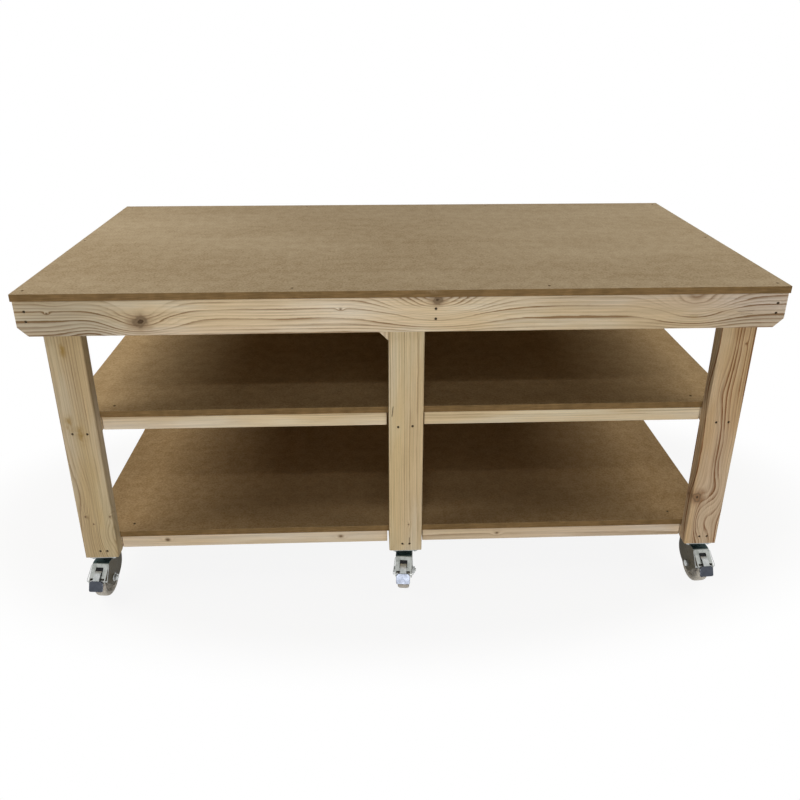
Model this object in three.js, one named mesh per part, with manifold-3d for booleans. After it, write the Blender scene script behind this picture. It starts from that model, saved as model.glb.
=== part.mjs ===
// Assembly table: a board top on a softwood frame, two shelves and six braked swivel castors.
// Units are millimetres and +Z is up. The origin is on the floor under the middle of the table.
// X runs along the table and the front faces -Y.

import * as THREE from 'three';
import { mergeVertices } from 'three/addons/utils/BufferGeometryUtils.js';
import Module from 'manifold-3d';

const wasm = await Module();
wasm.setup();

// Driving dimensions of the table
const TABLE_LENGTH = 1830;
const TABLE_DEPTH = 915;
const TABLE_HEIGHT = 900;
const BOARD_THICKNESS = 18;
const TIMBER_WIDTH = 89;
const TIMBER_THICKNESS = 38;
const TIMBER_EDGE_RADIUS = 3;
const TIMBER_EDGE_STEPS = 1;
const TOP_OVERHANG = 3;
const APRON_CORNER_CUT = 24;
const UPPER_SHELF_HEIGHT = 554;
const SHELF_CLEARANCE = 0.5;
const RAIL_SETBACK = 3;
const RAIL_GAP_AT_MIDDLE = 5;
const RAIL_GAP_AT_END = 1.5;

// Driving dimensions of a castor
const CASTOR_HEIGHT = 125;
const WHEEL_RADIUS = 50;
const WHEEL_WIDTH = 32;
const WHEEL_HUB_LENGTH = 38;
const WHEEL_TRAIL = 38;
const PLATE_LENGTH = 95;
const PLATE_WIDTH = 75;
const PLATE_THICKNESS = 3.5;
const PLATE_CORNER_RADIUS = 8;
const PLATE_SETBACK = 2;
const PLATE_HOLE_RADIUS = 4.5;
const PLATE_HOLE_INSET = 10.5;
const RUNNING_GAP = 0.6;
const SWIVEL_PIN_RADIUS = 6;
const RACE_RADIUS = 25;
const RACE_HEIGHT = 6.4;
const FORK_WIDTH = 45;
const FORK_SHEET = 3;
const CROWN_RADIUS = 27;
const CROWN_TOP = 110;
const AXLE_RADIUS = 5;
const AXLE_GAP = 0.3;
const AXLE_LOBE_RADIUS = 22;
const CHEEK_DROP = 30;
const AXLE_HEAD = { radius: 9.2, length: 6.5 };
const AXLE_NUT = { radius: 9.8, length: 8 };
const AXLE_THREAD_END = 3;

// The guard slopes down over the wheel's front and carries the brake pedal at its foot.
const GUARD_START = 54;
const GUARD_SLOPE = THREE.MathUtils.degToRad(37.5);
const GUARD_LENGTH = 41.5;
const GUARD_BEND = 5;
const GUARD_WINDOW = { start: 12, end: 34, width: 21 };
const PEDAL_PIN = { along: 48, out: -5.5, radius: 3, lobe: 5.5, overhang: 1.5 };
const PEDAL_BARREL = { radius: 4.5, length: 26 };
const PEDAL_STRAP = { width: 17, thickness: 3, clear: 5.5 };
const PEDAL_NECK = { forward: 8, up: 1, thickness: 5 };
const PEDAL_PAD = { forward: 6, up: 6, width: 38, length: 29, thickness: 4, corner: 4, topCut: 6 };
const PEDAL_PAD_TILT = THREE.MathUtils.degToRad(67.5);

// How each castor is turned about its swivel pin, in degrees, on the front row.
// The rear row mirrors the front one.
const CASTOR_TURNS = { left: -5, middle: -5, right: 4 };

// Facets: an arc of an outline has twice its steps
const ROUND_STEPS = 16;
const WHEEL_STEPS = 24;
const ARC_STEPS = 2;
const HOLE_STEPS = 8;
const HEX_SIDES = 6;

// Places that follow from the driving dimensions
const topUnderside = TABLE_HEIGHT - BOARD_THICKNESS;
const frameHalfLength = TABLE_LENGTH / 2 - TOP_OVERHANG;
const frameHalfDepth = TABLE_DEPTH / 2 - TOP_OVERHANG;
const apronY = frameHalfDepth - TIMBER_THICKNESS / 2;
const legFrontY = frameHalfDepth - TIMBER_THICKNESS;
const legY = legFrontY - TIMBER_THICKNESS / 2;
const legBackY = legFrontY - TIMBER_THICKNESS;
const endRailX = frameHalfLength - TIMBER_THICKNESS / 2;
const legOuterX = frameHalfLength - TIMBER_THICKNESS;
const legX = legOuterX - TIMBER_WIDTH / 2;
const legInnerX = legOuterX - TIMBER_WIDTH;
const lowerShelfHeight = CASTOR_HEIGHT + TIMBER_THICKNESS + BOARD_THICKNESS;
const braceLeg = TIMBER_WIDTH * Math.SQRT2;
const castorY = legFrontY - PLATE_SETBACK - PLATE_LENGTH / 2;

// Places along the table and across it, by name
const COLUMNS = { left: -legX, middle: 0, right: legX };
const ROWS = { front: -1, rear: 1 };

// Materials
function material(color, roughness, metalness) {
  return new THREE.MeshStandardMaterial({ color, roughness, metalness });
}

const fibreboard = () => material(0x9c8059, 0.75, 0);
const softwood = () => material(0xc4a67a, 0.65, 0);
const zincSteel = () => material(0xb4b8b4, 0.35, 0.9);
const greyNylon = () => material(0xa09b93, 0.55, 0);
const slatePedal = () => material(0x565c66, 0.4, 0.8);

// Closed solids for cutting and joining
function solidOf(geometry) {
  const bare = geometry.clone();
  bare.deleteAttribute('normal');
  bare.deleteAttribute('uv');
  const merged = mergeVertices(bare);
  return new wasm.Manifold(new wasm.Mesh({
    numProp: 3,
    vertProperties: new Float32Array(merged.attributes.position.array),
    triVerts: new Uint32Array(merged.index.array),
  }));
}

function geometryOf(solid) {
  const mesh = solid.getMesh();
  const geometry = new THREE.BufferGeometry();
  geometry.setAttribute('position', new THREE.BufferAttribute(mesh.vertProperties, 3));
  geometry.setIndex(new THREE.BufferAttribute(mesh.triVerts, 1));
  geometry.computeVertexNormals();
  return geometry;
}

function joined(geometries) {
  return geometries.map(solidOf).reduce((whole, piece) => whole.add(piece));
}

function cut(solid, geometries) {
  return geometries.map(solidOf).reduce((rest, piece) => rest.subtract(piece), solid);
}

// Outlines
function roundedRectangle(width, height, radius) {
  const x = width / 2 - radius;
  const y = height / 2 - radius;
  const shape = new THREE.Shape();
  shape.absarc(x, y, radius, 0, Math.PI / 2);
  shape.absarc(-x, y, radius, Math.PI / 2, Math.PI);
  shape.absarc(-x, -y, radius, Math.PI, Math.PI * 1.5);
  shape.absarc(x, -y, radius, Math.PI * 1.5, Math.PI * 2);
  return shape;
}

function polygon(points) {
  return new THREE.Shape(points.map(([x, y]) => new THREE.Vector2(x, y)));
}

// A band of even thickness along a bent line
function band(points, thickness) {
  const line = points.map(([x, y]) => new THREE.Vector2(x, y));
  const offset = (side) => line.map((point, i) => {
    const before = line[Math.max(i - 1, 0)];
    const after = line[Math.min(i + 1, line.length - 1)];
    const along = after.clone().sub(before).normalize();
    const across = new THREE.Vector2(-along.y, along.x);
    return point.clone().addScaledVector(across, side * thickness / 2);
  });
  return new THREE.Shape([...offset(-1), ...offset(1).reverse()]);
}

function extrusion(shape, depth, curveSegments = ARC_STEPS) {
  const geometry = new THREE.ExtrudeGeometry(shape, { depth, curveSegments, bevelEnabled: false });
  return geometry.translate(0, 0, -depth / 2);
}

// Axes that an extrusion's x, y and depth take. Every entry is a row of signs, so corners stay exact.
const AXES = {
  alongX: [[0, 1, 0], [0, 0, 1], [1, 0, 0]],
  alongY: [[0, 0, 1], [1, 0, 0], [0, 1, 0]],
  alongZ: [[1, 0, 0], [0, 1, 0], [0, 0, 1]],
  frontView: [[1, 0, 0], [0, 0, 1], [0, -1, 0]],
  castorSide: [[0, -1, 0], [0, 0, 1], [-1, 0, 0]],
};

function turned(geometry, axes) {
  const columns = axes.map((axis) => new THREE.Vector3(...axis));
  return geometry.applyMatrix4(new THREE.Matrix4().makeBasis(...columns));
}

// Timber frame
const table = new THREE.Group();

function addMesh(group, name, geometry, finish, place = [0, 0, 0]) {
  const mesh = new THREE.Mesh(geometry, finish);
  mesh.name = name;
  mesh.position.set(...place);
  group.add(mesh);
}

// x is the section's first side and y its second, in the order that the axes give them.
function timber(x, y, length, axes) {
  const section = roundedRectangle(x, y, TIMBER_EDGE_RADIUS);
  return turned(extrusion(section, length, TIMBER_EDGE_STEPS), axes);
}

function addTop() {
  const board = new THREE.BoxGeometry(TABLE_LENGTH, TABLE_DEPTH, BOARD_THICKNESS);
  addMesh(table, 'table_top', board, fibreboard(), [0, 0, topUnderside + BOARD_THICKNESS / 2]);
}

function apronGeometry() {
  const length = 2 * frameHalfLength;
  const whole = solidOf(timber(TIMBER_THICKNESS, TIMBER_WIDTH, length, AXES.alongX));
  const corner = [frameHalfLength, -TIMBER_WIDTH / 2];
  const offcut = (side) => polygon([
    [side * (corner[0] - APRON_CORNER_CUT), corner[1]],
    [side * (corner[0] + APRON_CORNER_CUT), corner[1] - APRON_CORNER_CUT],
    [side * (corner[0] + APRON_CORNER_CUT), corner[1] + 2 * APRON_CORNER_CUT],
  ]);
  const prisms = [-1, 1].map((side) => turned(extrusion(offcut(side), TIMBER_WIDTH), AXES.frontView));
  return geometryOf(cut(whole, prisms));
}

function addTopFrame() {
  const railZ = topUnderside - TIMBER_WIDTH / 2;
  const apron = apronGeometry();
  for (const [row, side] of Object.entries(ROWS)) {
    addMesh(table, `${row}_apron`, apron, softwood(), [0, side * apronY, railZ]);
  }
  const rail = timber(TIMBER_WIDTH, TIMBER_THICKNESS, 2 * legFrontY, AXES.alongY);
  const centreRailX = (TIMBER_WIDTH + TIMBER_THICKNESS) / 2;
  addMesh(table, 'left_end_rail', rail, softwood(), [-endRailX, 0, railZ]);
  addMesh(table, 'right_end_rail', rail, softwood(), [endRailX, 0, railZ]);
  addMesh(table, 'centre_cross_rail', rail, softwood(), [centreRailX, 0, railZ]);
}

function addLegs() {
  const length = topUnderside - CASTOR_HEIGHT;
  const leg = timber(TIMBER_WIDTH, TIMBER_THICKNESS, length, AXES.alongZ);
  for (const [row, side] of Object.entries(ROWS)) {
    for (const [column, x] of Object.entries(COLUMNS)) {
      const place = [x, side * legY, CASTOR_HEIGHT + length / 2];
      addMesh(table, `leg_${row}_${column}`, leg, softwood(), place);
    }
  }
}

// A brace is a square-cornered offcut of the same timber, with its right angle between leg and top.
function addBraces() {
  const outline = polygon([[0, 0], [-braceLeg, 0], [0, -braceLeg]]);
  const brace = turned(extrusion(outline, TIMBER_THICKNESS), AXES.frontView);
  for (const [row, side] of Object.entries(ROWS)) {
    const place = [-TIMBER_WIDTH / 2, side * legY, topUnderside];
    addMesh(table, `brace_${row}_middle`, brace, softwood(), place);
  }
}

function addShelf(name, height) {
  const boardLength = 2 * legOuterX;
  const boardDepth = 2 * (legBackY - SHELF_CLEARANCE);
  const board = new THREE.BoxGeometry(boardLength, boardDepth, BOARD_THICKNESS);
  addMesh(table, `${name}_shelf`, board, fibreboard(), [0, 0, height - BOARD_THICKNESS / 2]);

  const railZ = height - BOARD_THICKNESS - TIMBER_THICKNESS / 2;
  const crossRail = timber(TIMBER_THICKNESS, TIMBER_WIDTH, 2 * legBackY, AXES.alongY);
  for (const [column, x] of Object.entries(COLUMNS)) {
    addMesh(table, `${name}_cross_rail_${column}`, crossRail, softwood(), [x, 0, railZ]);
  }

  const railStart = TIMBER_WIDTH / 2 + RAIL_GAP_AT_MIDDLE;
  const railEnd = legInnerX - RAIL_GAP_AT_END;
  const railX = (railStart + railEnd) / 2;
  const railY = legBackY - RAIL_SETBACK - TIMBER_WIDTH / 2;
  const rail = timber(TIMBER_WIDTH, TIMBER_THICKNESS, railEnd - railStart, AXES.alongX);
  for (const [row, side] of Object.entries(ROWS)) {
    addMesh(table, `${name}_${row}_rail_left`, rail, softwood(), [-railX, side * railY, railZ]);
    addMesh(table, `${name}_${row}_rail_right`, rail, softwood(), [railX, side * railY, railZ]);
  }
}

// Castors. Each is drawn with its swivel pin over the origin and its wheel and pedal towards -Y.
// Side views give [forward of the swivel pin, above the floor].
const WHEEL_CENTRE = [WHEEL_TRAIL, WHEEL_RADIUS];

// A point by its distance down the guard's slope and its distance out from the guard's face
function onGuard(along, out) {
  const cos = Math.cos(GUARD_SLOPE);
  const sin = Math.sin(GUARD_SLOPE);
  return [GUARD_START + along * cos + out * sin, CROWN_TOP - along * sin + out * cos];
}

const pedalPin = onGuard(PEDAL_PIN.along, PEDAL_PIN.out);

function placed(geometry, [forward, height]) {
  return geometry.translate(0, -forward, height);
}

function sideExtrusion(shape, width) {
  return turned(extrusion(shape, width), AXES.castorSide);
}

function crossBar(radius, length, steps, point) {
  return placed(new THREE.CylinderGeometry(radius, radius, length, steps).rotateZ(Math.PI / 2), point);
}

function upright(profile) {
  const points = profile.map(([radius, height]) => new THREE.Vector2(radius, height));
  return new THREE.LatheGeometry(points, ROUND_STEPS).rotateX(Math.PI / 2);
}

function plateGeometry() {
  const bottom = CASTOR_HEIGHT - PLATE_THICKNESS;
  const outline = roundedRectangle(PLATE_WIDTH, PLATE_LENGTH, PLATE_CORNER_RADIUS);
  const plate = extrusion(outline, PLATE_THICKNESS).translate(0, 0, bottom + PLATE_THICKNESS / 2);
  const raceBottom = CROWN_TOP + RACE_HEIGHT + RUNNING_GAP;
  const rivetTop = CROWN_TOP - FORK_SHEET - RUNNING_GAP;
  const rivet = { radius: 10, height: 4, bevel: 2 };
  const raceBevel = 2.5;
  const swivelPin = upright([
    [0, rivetTop - rivet.height],
    [rivet.radius - rivet.bevel, rivetTop - rivet.height],
    [rivet.radius, rivetTop - rivet.height + rivet.bevel],
    [rivet.radius, rivetTop],
    [SWIVEL_PIN_RADIUS, rivetTop],
    [SWIVEL_PIN_RADIUS, raceBottom],
    [RACE_RADIUS - raceBevel, raceBottom],
    [RACE_RADIUS, raceBottom + raceBevel],
    [RACE_RADIUS, bottom + PLATE_THICKNESS / 2],
    [0, bottom + PLATE_THICKNESS / 2],
  ]);
  const holeX = PLATE_WIDTH / 2 - PLATE_HOLE_INSET;
  const holeY = PLATE_LENGTH / 2 - PLATE_HOLE_INSET;
  const holes = [[-1, -1], [-1, 1], [1, -1], [1, 1]].map(([x, y]) => (
    new THREE.CylinderGeometry(PLATE_HOLE_RADIUS, PLATE_HOLE_RADIUS, 4 * PLATE_THICKNESS, HOLE_STEPS)
      .rotateX(Math.PI / 2)
      .translate(x * holeX, y * holeY, bottom)
  ));
  return geometryOf(cut(joined([plate, swivelPin]), holes));
}

// Seen from the side: flat crown, sloping guard, a lobe for the pedal's pin and one for the axle
function forkOutline() {
  const [axleX, axleZ] = WHEEL_CENTRE;
  const crownBack = -CROWN_RADIUS + FORK_SHEET;
  const guardNormal = Math.PI / 2 - GUARD_SLOPE;
  const lobeEnd = THREE.MathUtils.degToRad(-130);
  const axleLobeStart = THREE.MathUtils.degToRad(-50);
  const axleLobeEnd = THREE.MathUtils.degToRad(-100);
  const cheekCorner = [-CROWN_RADIUS + 2 * FORK_SHEET, WHEEL_RADIUS - AXLE_LOBE_RADIUS / 2];
  const shape = new THREE.Shape();
  shape.moveTo(crownBack, CROWN_TOP - CHEEK_DROP);
  shape.lineTo(crownBack, CROWN_TOP);
  shape.lineTo(GUARD_START - GUARD_BEND, CROWN_TOP);
  shape.quadraticCurveTo(GUARD_START, CROWN_TOP, ...onGuard(GUARD_BEND, 0));
  shape.absarc(...pedalPin, PEDAL_PIN.lobe, guardNormal, lobeEnd, true);
  shape.absarc(axleX, axleZ, AXLE_LOBE_RADIUS, axleLobeStart, axleLobeEnd, true);
  shape.quadraticCurveTo(...cheekCorner, crownBack, CROWN_TOP - CHEEK_DROP);
  return shape;
}

// The hollow between the cheeks: under the crown and guard, and everything past the guard's foot
function forkHollow() {
  const reach = 2 * CASTOR_HEIGHT;
  const underCrown = CROWN_TOP - FORK_SHEET;
  const sheetDrop = FORK_SHEET * Math.cos(GUARD_SLOPE);
  const hollowStart = (FORK_SHEET - sheetDrop) / Math.sin(GUARD_SLOPE);
  return polygon([
    [-reach, underCrown],
    onGuard(hollowStart, -FORK_SHEET),
    onGuard(GUARD_LENGTH, -FORK_SHEET),
    onGuard(GUARD_LENGTH, PEDAL_PIN.lobe * 3),
    [reach, CROWN_TOP],
    [reach, -reach],
    [-reach, -reach],
  ]);
}

function forkGeometry() {
  const raceTop = CROWN_TOP + RACE_HEIGHT;
  const underCrown = CROWN_TOP - FORK_SHEET;
  const raceStep = 2;
  const crownAndRace = upright([
    [0, underCrown],
    [CROWN_RADIUS, underCrown],
    [CROWN_RADIUS, CROWN_TOP],
    [RACE_RADIUS, CROWN_TOP + raceStep],
    [RACE_RADIUS, raceTop - raceStep],
    [RACE_RADIUS - raceStep, raceTop],
    [0, raceTop],
  ]);
  const { start, end, width } = GUARD_WINDOW;
  const opening = new THREE.BoxGeometry(width, end - start, 6 * FORK_SHEET).rotateX(GUARD_SLOPE);
  const pinBore = new THREE.CylinderGeometry(
    SWIVEL_PIN_RADIUS + RUNNING_GAP, SWIVEL_PIN_RADIUS + RUNNING_GAP, CASTOR_HEIGHT, ROUND_STEPS);
  const shell = cut(solidOf(sideExtrusion(forkOutline(), FORK_WIDTH)), [
    sideExtrusion(forkHollow(), FORK_WIDTH - 2 * FORK_SHEET),
    placed(opening, onGuard((start + end) / 2, 0)),
  ]);
  return geometryOf(cut(shell.add(solidOf(crownAndRace)), [
    pinBore.rotateX(Math.PI / 2).translate(0, 0, CASTOR_HEIGHT),
    crossBar(AXLE_RADIUS + AXLE_GAP, 2 * FORK_WIDTH, ROUND_STEPS, WHEEL_CENTRE),
    crossBar(PEDAL_PIN.radius + AXLE_GAP, 2 * FORK_WIDTH, HOLE_STEPS, pedalPin),
  ]));
}

// The wheel's flats stand as far out as its radius, and one of them lies on the floor.
function wheelGeometry() {
  const half = WHEEL_WIDTH / 2;
  const hubHalf = WHEEL_HUB_LENGTH / 2;
  const bore = AXLE_RADIUS + RUNNING_GAP;
  const hub = 13;
  const web = { inner: 15, outer: 35, half: 8 };
  const rim = 38;
  const shoulder = 4;
  const nearSide = [
    [bore, -hubHalf],
    [hub, -hubHalf],
    [web.inner, -web.half],
    [web.outer, -web.half],
    [rim, -half + 1],
    [WHEEL_RADIUS - shoulder, -half],
    [WHEEL_RADIUS, -half + shoulder],
  ];
  const farSide = nearSide.map(([radius, x]) => [radius, -x]).reverse();
  const grow = 1 / Math.cos(Math.PI / WHEEL_STEPS);
  const profile = [...nearSide, ...farSide, nearSide[0]];
  const points = profile.map(([radius, x]) => new THREE.Vector2(radius * grow, x));
  const wheel = new THREE.LatheGeometry(points, WHEEL_STEPS, Math.PI / WHEEL_STEPS);
  return placed(wheel.rotateZ(Math.PI / 2), WHEEL_CENTRE);
}

function axleGeometry() {
  const headX = -FORK_WIDTH / 2 - AXLE_GAP - AXLE_HEAD.length / 2;
  const nutX = FORK_WIDTH / 2 + AXLE_GAP + AXLE_NUT.length / 2;
  const shankStart = headX;
  const shankEnd = nutX + AXLE_NUT.length / 2 + AXLE_THREAD_END;
  const shank = crossBar(AXLE_RADIUS, shankEnd - shankStart, ROUND_STEPS, WHEEL_CENTRE);
  return geometryOf(joined([
    shank.translate((shankStart + shankEnd) / 2, 0, 0),
    crossBar(AXLE_HEAD.radius, AXLE_HEAD.length, HEX_SIDES, WHEEL_CENTRE).translate(headX, 0, 0),
    crossBar(AXLE_NUT.radius, AXLE_NUT.length, HEX_SIDES, WHEEL_CENTRE).translate(nutX, 0, 0),
  ]));
}

function pedalPadOutline() {
  const half = PEDAL_PAD.width / 2;
  const { length, corner, topCut } = PEDAL_PAD;
  const shape = new THREE.Shape();
  shape.moveTo(-half + topCut, 0);
  shape.lineTo(-half, -topCut);
  shape.absarc(-half + corner, -length + corner, corner, Math.PI, Math.PI * 1.5);
  shape.absarc(half - corner, -length + corner, corner, Math.PI * 1.5, Math.PI * 2);
  shape.lineTo(half, -topCut);
  shape.lineTo(half - topCut, 0);
  return shape;
}

// A strap rises through the guard's window, and a pad hangs in front of the wheel.
function pedalGeometry() {
  const [pinX, pinZ] = pedalPin;
  const padTop = [pinX + PEDAL_PAD.forward, pinZ + PEDAL_PAD.up];
  const neckEnd = [pinX + PEDAL_NECK.forward, pinZ + PEDAL_NECK.up];
  const strapLine = [
    pedalPin,
    onGuard(PEDAL_PIN.along + PEDAL_PIN.radius, 0),
    onGuard(PEDAL_PIN.along, PEDAL_STRAP.clear),
    onGuard(GUARD_WINDOW.end, PEDAL_STRAP.clear),
    onGuard((GUARD_WINDOW.start + GUARD_WINDOW.end) / 2, 0),
  ];
  const pinLength = FORK_WIDTH + 2 * PEDAL_PIN.overhang;
  const pad = extrusion(pedalPadOutline(), PEDAL_PAD.thickness).rotateX(PEDAL_PAD_TILT);
  return geometryOf(joined([
    crossBar(PEDAL_BARREL.radius, PEDAL_BARREL.length, HOLE_STEPS, pedalPin),
    crossBar(PEDAL_PIN.radius, pinLength, HOLE_STEPS, pedalPin),
    sideExtrusion(band(strapLine, PEDAL_STRAP.thickness), PEDAL_STRAP.width),
    sideExtrusion(band([pedalPin, neckEnd], PEDAL_NECK.thickness), PEDAL_STRAP.width),
    placed(pad, padTop),
  ]));
}

function addCastors() {
  const plate = plateGeometry();
  const fork = forkGeometry();
  const wheel = wheelGeometry();
  const axle = axleGeometry();
  const pedal = pedalGeometry();
  for (const [row, side] of Object.entries(ROWS)) {
    for (const [column, x] of Object.entries(COLUMNS)) {
      const name = `castor_${row}_${column}`;
      addMesh(table, `${name}_plate`, plate, zincSteel(), [x, side * castorY, 0]);
      const swivel = new THREE.Group();
      const frontTurn = CASTOR_TURNS[column];
      swivel.position.set(x, side * castorY, 0);
      swivel.rotation.z = THREE.MathUtils.degToRad(row === 'front' ? frontTurn : 180 - frontTurn);
      addMesh(swivel, `${name}_fork`, fork, zincSteel());
      addMesh(swivel, `${name}_wheel`, wheel, greyNylon());
      addMesh(swivel, `${name}_axle`, axle, zincSteel());
      addMesh(swivel, `${name}_pedal`, pedal, slatePedal());
      table.add(swivel);
    }
  }
}

addTop();
addTopFrame();
addLegs();
addBraces();
addShelf('upper', UPPER_SHELF_HEIGHT);
addShelf('lower', lowerShelfHeight);
addCastors();

export default table;
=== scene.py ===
"""Looks of the assembly table: softwood frame, fibreboard top and shelves, zinc castors."""

import math
import random

import bmesh
import bpy
from mathutils import Matrix, Vector


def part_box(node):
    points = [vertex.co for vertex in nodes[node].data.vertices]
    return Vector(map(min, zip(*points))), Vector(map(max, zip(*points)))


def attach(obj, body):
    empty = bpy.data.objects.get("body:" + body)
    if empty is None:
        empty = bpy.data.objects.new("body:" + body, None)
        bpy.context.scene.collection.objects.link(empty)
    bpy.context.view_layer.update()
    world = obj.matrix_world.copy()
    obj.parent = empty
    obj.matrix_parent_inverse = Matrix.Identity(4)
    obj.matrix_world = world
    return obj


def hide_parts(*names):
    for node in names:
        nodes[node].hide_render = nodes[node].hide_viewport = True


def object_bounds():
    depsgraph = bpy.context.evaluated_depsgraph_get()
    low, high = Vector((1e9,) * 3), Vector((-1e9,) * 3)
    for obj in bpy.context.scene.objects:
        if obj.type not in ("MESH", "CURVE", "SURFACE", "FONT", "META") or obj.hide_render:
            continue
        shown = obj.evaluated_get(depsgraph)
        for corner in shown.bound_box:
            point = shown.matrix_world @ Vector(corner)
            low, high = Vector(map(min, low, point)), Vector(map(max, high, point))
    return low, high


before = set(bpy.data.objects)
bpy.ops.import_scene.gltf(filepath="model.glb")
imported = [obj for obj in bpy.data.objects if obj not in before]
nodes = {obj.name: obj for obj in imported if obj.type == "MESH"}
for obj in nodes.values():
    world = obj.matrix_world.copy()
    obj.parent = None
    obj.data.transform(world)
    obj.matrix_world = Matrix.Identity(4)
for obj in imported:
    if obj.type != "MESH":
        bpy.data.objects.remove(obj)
cad_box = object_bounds()

MM = 0.001
TOP_HEIGHT = cad_box[1][2]
ROWS = ("front", "rear")
COLUMNS = ("left", "middle", "right")
WHITE = (1, 1, 1, 1)

# Camera, from a fit of the table's edges to the photograph
IMAGE_SIZE = 800
CAMERA_PLACE = (-0.0846, -2.1090, 1.4648)
CAMERA_YAW = 0.0402
CAMERA_PITCH = 0.3912
CAMERA_ROLL = 0.0022
FOCAL_PIXELS = 748.6
CENTRE_ROW = 336.76
SENSOR_WIDTH = 36.0

# Castor sizes in millimetres, the same as in the solids
WHEEL_RADIUS = 50
WHEEL_TRAIL = 38
WHEEL_CENTRE = (WHEEL_TRAIL, WHEEL_RADIUS)
FORK_WIDTH = 45
FORK_SHEET = 3
CROWN_RADIUS = 27
CROWN_TOP = 110
CHEEK_DROP = 30
RACE_RADIUS = 25
RACE_HEIGHT = 6.4
RACE_STEP = 2
SWIVEL_BORE = 7
AXLE_LOBE_RADIUS = 22
AXLE_RADIUS = 5
GUARD_START = 54
GUARD_SLOPE = math.radians(37.5)
GUARD_BEND = 5
GUARD_LENGTH = 41.5
GUARD_WINDOW = (12, 34, 21)
PEDAL_PIN_ALONG = 48
PEDAL_PIN_OUT = -5.5
PEDAL_PIN_RADIUS = 3
PEDAL_PIN_HALF = 24
PEDAL_BARREL_RADIUS = 4.5
PEDAL_BARREL_HALF = 13
PEDAL_LOBE_RADIUS = 5.5
PEDAL_STRAP_WIDTH = 17
PEDAL_STRAP_SHEET = 3
PEDAL_STRAP_CLEAR = 5.5
PAD_TILT = math.radians(67.5)
PAD_WIDTH = 38
PAD_LENGTH = 29
PAD_SHEET = 3.8
PAD_FORWARD = 6
PAD_UP = 6
PAD_CORNER = 4
PAD_TOP_CUT = 6
CASTOR_X = 829.5
CASTOR_Y = 367
CASTOR_TURNS = {"left": -5, "middle": -5, "right": 4}
PLATE_UNDERSIDE = 121.5
PLATE_HOLES = (27, 37)

# What each castor piece rides on, and the solid that it stands for
CASTOR_BODIES = {"wheel": "roller", "fork": "swivel", "axle": "swivel", "spring": "swivel", "wires": "swivel",
                 "strap": "brake", "pad": "brake"}
CASTOR_NODES = {"wheel": "wheel", "fork": "fork", "axle": "axle", "strap": "pedal"}

# Small castor details in millimetres, finer than in the solids
BORE_EASE = 0.2
BORE_SPAN = (90, 140)
WIRE_RADIUS = 0.8
# A wire's points are [across, along the guard, out from it]
WIRE_PATH = ((19, 5, 0.6), (22.6, 5.5, 1.2), (24, 8, 0.6), (25.2, 22, -0.6), (27.6, 43, -2.6), (27.8, 48, -4),
             (26.4, 50, -5.5))
WIRE_END = 24.9
SPRING_WIDTH = GUARD_WINDOW[2] + 8
# The leaf's corners are [along the guard, out from it]
SPRING_SIDE = ((4, -3.3), (39, -3.3), (39, -4.1), (4, -4.1))
AXLE_INSET = 4
THREAD_PAST_NUT = 3
THREAD_CHAMFER = (1.2, 2.2)
# Starts and ends run outwards from the sides of the fork
HEAD_RADIUS, HEAD_START, HEAD_END = 9.2, 0.3, 6.7
NUT_RADIUS, NUT_START, NUT_END = 9.8, 1.6, 8.2
WASHER_RADIUS, WASHER_START, WASHER_END = 11, 0.3, 1.7
WASHER_BULGE = 0.4
# The neck's corners are [forward, up] from the pedal's pin
PAD_NECK = ((3, -2.4), (8, -1.5), (8, 3.5), (3, 2.6))
# Washer and head as [radius, low, high, sides], from the underside of the plate
BOLT_STEPS = ((8.4, -1.4, 0, 24), (6.8, -6, -1.4, 6))

# Half of the wheel's section, as [radius, place along the axle] in millimetres, from the bore to the tread
WHEEL_SECTION = (
    (5.6, -19), (12, -19), (13, -18), (14.2, -9), (16, -8), (33, -8), (35.5, -9), (37.5, -14.2), (39, -15.4),
    (44, -16), (46.6, -15.4), (48.6, -13.6), (49.6, -10.6), (50, -6))

# Screws in millimetres. Profiles are [radius, height], from a head's top or from the timber's face.
AXIS = 0.01
SCREW_HEAD = ((AXIS, -3.0), (1.8, -3.0), (3.2, -0.6), (3.2, -0.25), (2.9, 0), (AXIS, 0))
SCREW_HOLE = ((AXIS, -2.6), (2.6, -2.6), (3.6, -0.4), (4.1, 0.6), (AXIS, 0.6))
SCREW_SLOT_HALF = (2.1, 0.42)
SCREW_SLOT_SPAN = (-1.3, 1.0)
SCREW_SINK = 1.2

# Rounding of edges in millimetres, where faces meet at more than the angle
ROUNDED_ANGLE = math.radians(32)
TIMBER_ROUNDING = 0.8
BOARD_ROUNDING = 0.7
PLATE_ROUNDING = 0.5
FORK_ROUNDING = 0.7
AXLE_ROUNDING = 0.5
STRAP_ROUNDING = 0.6
PAD_ROUNDING = 0.9
BOLT_ROUNDING = 0.4

# Softwood colours
EARLYWOOD = (0.71, 0.585, 0.415, 1)
LATEWOOD = (0.31, 0.205, 0.115, 1)
RED_LATEWOOD = (0.27, 0.148, 0.073, 1)
PALE_PATCH = (0.76, 0.685, 0.565, 1)
YELLOW_TINT = (1.02, 0.98, 0.87, 1)
PINK_TINT = (1.02, 0.985, 0.985, 1)
END_GRAIN_TINT = (0.72, 0.64, 0.55, 1)
KNOT_BROWN = (0.2, 0.138, 0.08, 1)
KNOT_RIM = (0.12, 0.078, 0.043, 1)
RED_KNOT = (0.27, 0.155, 0.08, 1)
RESIN = (0.31, 0.195, 0.055, 1)
CRACK = (0.05, 0.028, 0.014, 1)
WOOD_GLOSS = 0.12

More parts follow.
